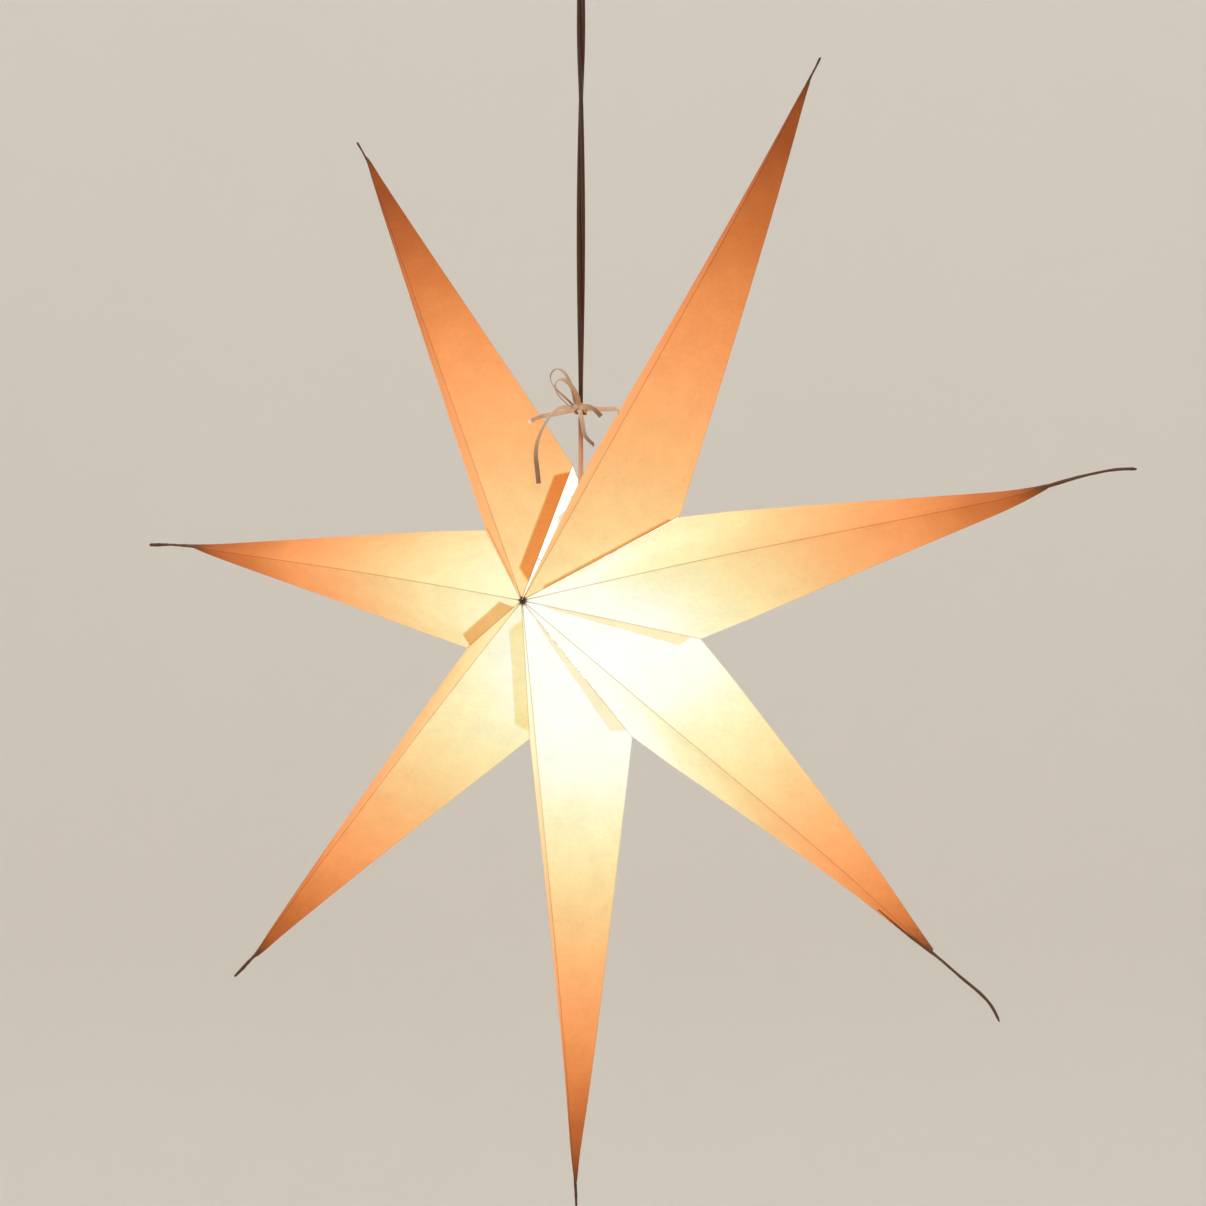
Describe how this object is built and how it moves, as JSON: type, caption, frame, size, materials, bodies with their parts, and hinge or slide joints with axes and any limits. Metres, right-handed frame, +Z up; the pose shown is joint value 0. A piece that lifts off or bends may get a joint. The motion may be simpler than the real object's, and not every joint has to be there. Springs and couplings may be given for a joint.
{
  "type": "paper star lantern",
  "caption": "Folding paper star lantern with long pointed rays, lit from inside by a small bulb, tied round its flat cord with cotton tape and hung from a ceiling cup.",
  "frame": {"origin": "centre of the ceiling face of the mounting bracket", "axes": "+Z up into the ceiling, -Y out of the star's front, +X to the right seen from the front"},
  "size_m": [0.688, 0.113, 0.785],
  "materials": {
    "paper": "matte",
    "paper_tail": "matte",
    "tape": "matte",
    "cord": "satin",
    "holder": "satin",
    "brass": "satin",
    "nickel": "satin",
    "insulator": "gloss",
    "insulator_white": "satin",
    "glass": "gloss",
    "filament": "satin",
    "steel": "satin",
    "cup": "satin"
  },
  "bodies": {
    "hanger": {"ceiling_bracket": "steel", "centre_contact": "brass", "lampholder_body": "holder", "lampholder_cap": "holder", "supply_cord": "cord", "terminal_block": "insulator_white", "thread_sleeve": "brass", "tie_knot": "tape", "tie_loop_lower": "tape", "tie_loop_upper": "tape", "tie_tail_left": "tape", "tie_tail_right": "tape", "tie_tape_left": "tape", "tie_tape_right": "tape", "ray_4_tip": "paper_tail"},
    "bulb": {"bulb_glass": "glass", "bulb_screw_cap": "nickel", "bulb_insulator": "insulator", "bulb_contact": "nickel", "bulb_stem": "filament"},
    "ceiling_cup": {"ceiling_cup": "cup", "cord_grip": "cup"},
    "ray_3": {"ray_3_tip": "paper_tail"},
    "ray_2": {"ray_2_tip": "paper_tail"},
    "ray_1": {"ray_1_tip": "paper_tail"},
    "ray_5": {"ray_5_tip": "paper_tail"},
    "ray_6": {"ray_6_tip": "paper_tail"},
    "ray_7": {"ray_7_tip": "paper_tail"},
    "ray_1_front_left": {"ray_1_front_left": "paper"},
    "ray_1_back_left": {"ray_1_back_left": "paper"},
    "ray_1_front_right": {"ray_1_front_right": "paper"},
    "ray_1_back_right": {"ray_1_back_right": "paper"},
    "ray_2_front_left": {"ray_2_front_left": "paper"},
    "ray_2_back_left": {"ray_2_back_left": "paper"},
    "ray_2_front_right": {"ray_2_front_right": "paper"},
    "ray_2_back_right": {"ray_2_back_right": "paper"},
    "ray_3_front_left": {"ray_3_front_left": "paper"},
    "ray_3_back_left": {"ray_3_back_left": "paper"},
    "ray_3_front_right": {"ray_3_front_right": "paper"},
    "ray_3_back_right": {"ray_3_back_right": "paper"},
    "ray_4_front_left": {"ray_4_front_left": "paper"},
    "ray_4_back_left": {"ray_4_back_left": "paper"},
    "ray_4_front_right": {"ray_4_front_right": "paper"},
    "ray_4_back_right": {"ray_4_back_right": "paper"},
    "ray_5_front_left": {"ray_5_front_left": "paper"},
    "ray_5_back_left": {"ray_5_back_left": "paper"},
    "ray_5_front_right": {"ray_5_front_right": "paper"},
    "ray_5_back_right": {"ray_5_back_right": "paper"},
    "ray_6_front_left": {"ray_6_front_left": "paper"},
    "ray_6_back_left": {"ray_6_back_left": "paper"},
    "ray_6_front_right": {"ray_6_front_right": "paper"},
    "ray_6_back_right": {"ray_6_back_right": "paper"},
    "ray_7_front_left": {"ray_7_front_left": "paper"},
    "ray_7_back_left": {"ray_7_back_left": "paper"},
    "ray_7_front_right": {"ray_7_front_right": "paper"},
    "ray_7_back_right": {"ray_7_back_right": "paper"}
  },
  "joints": [
    {"name": "fold", "type": "hinge", "parent": "hanger", "child": "ray_3", "pos_m": [0.00125, 0, -0.43766], "axis": [0, 1, 0], "range_deg": [0, 50.36]},
    {"name": "fold_ray_2", "type": "hinge", "parent": "hanger", "child": "ray_2", "pos_m": [0.0025, 0, -0.43707], "axis": [0, 1, 0], "range_deg": [0, 100.72]},
    {"name": "fold_ray_1", "type": "hinge", "parent": "hanger", "child": "ray_1", "pos_m": [0.00375, 0, -0.43597], "axis": [0, 1, 0], "range_deg": [0, 151.07]},
    {"name": "fold_ray_5", "type": "hinge", "parent": "hanger", "child": "ray_5", "pos_m": [-0.00125, 0, -0.43766], "axis": [0, -1, 0], "range_deg": [0, 50.36]},
    {"name": "fold_ray_6", "type": "hinge", "parent": "hanger", "child": "ray_6", "pos_m": [-0.0025, 0, -0.43707], "axis": [0, -1, 0], "range_deg": [0, 100.72]},
    {"name": "fold_ray_7", "type": "hinge", "parent": "hanger", "child": "ray_7", "pos_m": [-0.00375, 0, -0.43597], "axis": [0, -1, 0], "range_deg": [0, 151.07]},
    {"name": "crease_1_front_left", "type": "hinge", "parent": "ray_1", "child": "ray_1_front_left", "pos_m": [0.16861, 0.00173, -0.12864], "axis": [-0.5306, -0.196, -0.8247], "range_deg": [0, 37.71]},
    {"name": "crease_1_back_left", "type": "hinge", "parent": "ray_1", "child": "ray_1_back_left", "pos_m": [0.16861, -0.00173, -0.12864], "axis": [0.5306, -0.196, 0.8247], "range_deg": [0, 37.71]},
    {"name": "crease_1_front_right", "type": "hinge", "parent": "ray_1", "child": "ray_1_front_right", "pos_m": [0.1697, 0.00173, -0.12924], "axis": [0.416, 0.196, 0.888], "range_deg": [0, 37.71]},
    {"name": "crease_1_back_right", "type": "hinge", "parent": "ray_1", "child": "ray_1_back_right", "pos_m": [0.1697, -0.00173, -0.12924], "axis": [-0.416, 0.196, -0.888], "range_deg": [0, 37.71]},
    {"name": "crease_2_front_left", "type": "hinge", "parent": "ray_2", "child": "ray_2_front_left", "pos_m": [0.34348, 0.00173, -0.36938], "axis": [-0.9735, -0.196, -0.1176], "range_deg": [0, 37.71]},
    {"name": "crease_2_back_left", "type": "hinge", "parent": "ray_2", "child": "ray_2_back_left", "pos_m": [0.34348, -0.00173, -0.36938], "axis": [0.9735, -0.196, 0.1176], "range_deg": [0, 37.71]},
    {"name": "crease_2_front_right", "type": "hinge", "parent": "ray_2", "child": "ray_2_front_right", "pos_m": [0.34372, 0.00173, -0.3706], "axis": [0.9492, 0.196, 0.2462], "range_deg": [0, 37.71]},
    {"name": "crease_2_back_right", "type": "hinge", "parent": "ray_2", "child": "ray_2_back_right", "pos_m": [0.34372, -0.00173, -0.3706], "axis": [-0.9492, 0.196, -0.2462], "range_deg": [0, 37.71]},
    {"name": "crease_3_front_left", "type": "hinge", "parent": "ray_3", "child": "ray_3_front_left", "pos_m": [0.26968, 0.00173, -0.65763], "axis": [-0.7117, -0.196, 0.6746], "range_deg": [0, 37.71]},
    {"name": "crease_3_back_left", "type": "hinge", "parent": "ray_3", "child": "ray_3_back_left", "pos_m": [0.26968, -0.00173, -0.65763], "axis": [0.7117, -0.196, -0.6746], "range_deg": [0, 37.71]},
    {"name": "crease_3_front_right", "type": "hinge", "parent": "ray_3", "child": "ray_3_front_right", "pos_m": [0.26888, 0.00173, -0.65859], "axis": [0.7952, 0.196, -0.5738], "range_deg": [0, 37.71]},
    {"name": "crease_3_back_right", "type": "hinge", "parent": "ray_3", "child": "ray_3_back_right", "pos_m": [0.26888, -0.00173, -0.65859], "axis": [-0.7952, 0.196, 0.5738], "range_deg": [0, 37.71]},
    {"name": "crease_4_front_left", "type": "hinge", "parent": "hanger", "child": "ray_4_front_left", "pos_m": [0.00062, 0.00173, -0.7847], "axis": [0.0655, -0.196, 0.9784], "range_deg": [0, 37.71]},
    {"name": "crease_4_back_left", "type": "hinge", "parent": "hanger", "child": "ray_4_back_left", "pos_m": [0.00062, -0.00173, -0.7847], "axis": [-0.0655, -0.196, -0.9784], "range_deg": [0, 37.71]},
    {"name": "crease_4_front_right", "type": "hinge", "parent": "hanger", "child": "ray_4_front_right", "pos_m": [-0.00062, 0.00173, -0.7847], "axis": [0.0655, 0.196, -0.9784], "range_deg": [0, 37.71]},
    {"name": "crease_4_back_right", "type": "hinge", "parent": "hanger", "child": "ray_4_back_right", "pos_m": [-0.00062, -0.00173, -0.7847], "axis": [-0.0655, 0.196, 0.9784], "range_deg": [0, 37.71]},
    {"name": "crease_5_front_left", "type": "hinge", "parent": "ray_5", "child": "ray_5_front_left", "pos_m": [-0.26888, 0.00173, -0.65859], "axis": [0.7952, -0.196, 0.5738], "range_deg": [0, 37.71]},
    {"name": "crease_5_back_left", "type": "hinge", "parent": "ray_5", "child": "ray_5_back_left", "pos_m": [-0.26888, -0.00173, -0.65859], "axis": [-0.7952, -0.196, -0.5738], "range_deg": [0, 37.71]},
    {"name": "crease_5_front_right", "type": "hinge", "parent": "ray_5", "child": "ray_5_front_right", "pos_m": [-0.26968, 0.00173, -0.65763], "axis": [-0.7117, 0.196, -0.6746], "range_deg": [0, 37.71]},
    {"name": "crease_5_back_right", "type": "hinge", "parent": "ray_5", "child": "ray_5_back_right", "pos_m": [-0.26968, -0.00173, -0.65763], "axis": [0.7117, 0.196, 0.6746], "range_deg": [0, 37.71]},
    {"name": "crease_6_front_left", "type": "hinge", "parent": "ray_6", "child": "ray_6_front_left", "pos_m": [-0.34372, 0.00173, -0.3706], "axis": [0.9492, -0.196, -0.2462], "range_deg": [0, 37.71]},
    {"name": "crease_6_back_left", "type": "hinge", "parent": "ray_6", "child": "ray_6_back_left", "pos_m": [-0.34372, -0.00173, -0.3706], "axis": [-0.9492, -0.196, 0.2462], "range_deg": [0, 37.71]},
    {"name": "crease_6_front_right", "type": "hinge", "parent": "ray_6", "child": "ray_6_front_right", "pos_m": [-0.34348, 0.00173, -0.36938], "axis": [-0.9735, 0.196, 0.1176], "range_deg": [0, 37.71]},
    {"name": "crease_6_back_right", "type": "hinge", "parent": "ray_6", "child": "ray_6_back_right", "pos_m": [-0.34348, -0.00173, -0.36938], "axis": [0.9735, 0.196, -0.1176], "range_deg": [0, 37.71]},
    {"name": "crease_7_front_left", "type": "hinge", "parent": "ray_7", "child": "ray_7_front_left", "pos_m": [-0.1697, 0.00173, -0.12924], "axis": [0.416, -0.196, -0.888], "range_deg": [0, 37.71]},
    {"name": "crease_7_back_left", "type": "hinge", "parent": "ray_7", "child": "ray_7_back_left", "pos_m": [-0.1697, -0.00173, -0.12924], "axis": [-0.416, -0.196, 0.888], "range_deg": [0, 37.71]},
    {"name": "crease_7_front_right", "type": "hinge", "parent": "ray_7", "child": "ray_7_front_right", "pos_m": [-0.16861, 0.00173, -0.12864], "axis": [-0.5306, 0.196, 0.8247], "range_deg": [0, 37.71]},
    {"name": "crease_7_back_right", "type": "hinge", "parent": "ray_7", "child": "ray_7_back_right", "pos_m": [-0.16861, -0.00173, -0.12864], "axis": [0.5306, 0.196, -0.8247], "range_deg": [0, 37.71]},
    {"name": "bulb_turn", "type": "hinge", "parent": "hanger", "child": "bulb", "pos_m": [0, 0, -0.435], "axis": [0, 0, -1], "range_deg": [0, 360]},
    {"name": "cup_slide", "type": "slide", "parent": "hanger", "child": "ceiling_cup", "axis": [0, 0, -1], "range_m": [0, 0.06]}
  ],
  "couplings": [
    {"joint": "fold_ray_2", "follows": "fold", "ratio": 2},
    {"joint": "fold_ray_1", "follows": "fold", "ratio": 3},
    {"joint": "fold_ray_5", "follows": "fold", "ratio": 1},
    {"joint": "fold_ray_6", "follows": "fold", "ratio": 2},
    {"joint": "fold_ray_7", "follows": "fold", "ratio": 3},
    {"joint": "crease_1_front_left", "follows": "fold", "ratio": 0.74875},
    {"joint": "crease_1_back_left", "follows": "fold", "ratio": 0.74875},
    {"joint": "crease_1_front_right", "follows": "fold", "ratio": 0.74875},
    {"joint": "crease_1_back_right", "follows": "fold", "ratio": 0.74875},
    {"joint": "crease_2_front_left", "follows": "fold", "ratio": 0.74875},
    {"joint": "crease_2_back_left", "follows": "fold", "ratio": 0.74875},
    {"joint": "crease_2_front_right", "follows": "fold", "ratio": 0.74875},
    {"joint": "crease_2_back_right", "follows": "fold", "ratio": 0.74875},
    {"joint": "crease_3_front_left", "follows": "fold", "ratio": 0.74875},
    {"joint": "crease_3_back_left", "follows": "fold", "ratio": 0.74875},
    {"joint": "crease_3_front_right", "follows": "fold", "ratio": 0.74875},
    {"joint": "crease_3_back_right", "follows": "fold", "ratio": 0.74875},
    {"joint": "crease_4_front_left", "follows": "fold", "ratio": 0.74875},
    {"joint": "crease_4_back_left", "follows": "fold", "ratio": 0.74875},
    {"joint": "crease_4_front_right", "follows": "fold", "ratio": 0.74875},
    {"joint": "crease_4_back_right", "follows": "fold", "ratio": 0.74875},
    {"joint": "crease_5_front_left", "follows": "fold", "ratio": 0.74875},
    {"joint": "crease_5_back_left", "follows": "fold", "ratio": 0.74875},
    {"joint": "crease_5_front_right", "follows": "fold", "ratio": 0.74875},
    {"joint": "crease_5_back_right", "follows": "fold", "ratio": 0.74875},
    {"joint": "crease_6_front_left", "follows": "fold", "ratio": 0.74875},
    {"joint": "crease_6_back_left", "follows": "fold", "ratio": 0.74875},
    {"joint": "crease_6_front_right", "follows": "fold", "ratio": 0.74875},
    {"joint": "crease_6_back_right", "follows": "fold", "ratio": 0.74875},
    {"joint": "crease_7_front_left", "follows": "fold", "ratio": 0.74875},
    {"joint": "crease_7_back_left", "follows": "fold", "ratio": 0.74875},
    {"joint": "crease_7_front_right", "follows": "fold", "ratio": 0.74875},
    {"joint": "crease_7_back_right", "follows": "fold", "ratio": 0.74875}
  ]
}
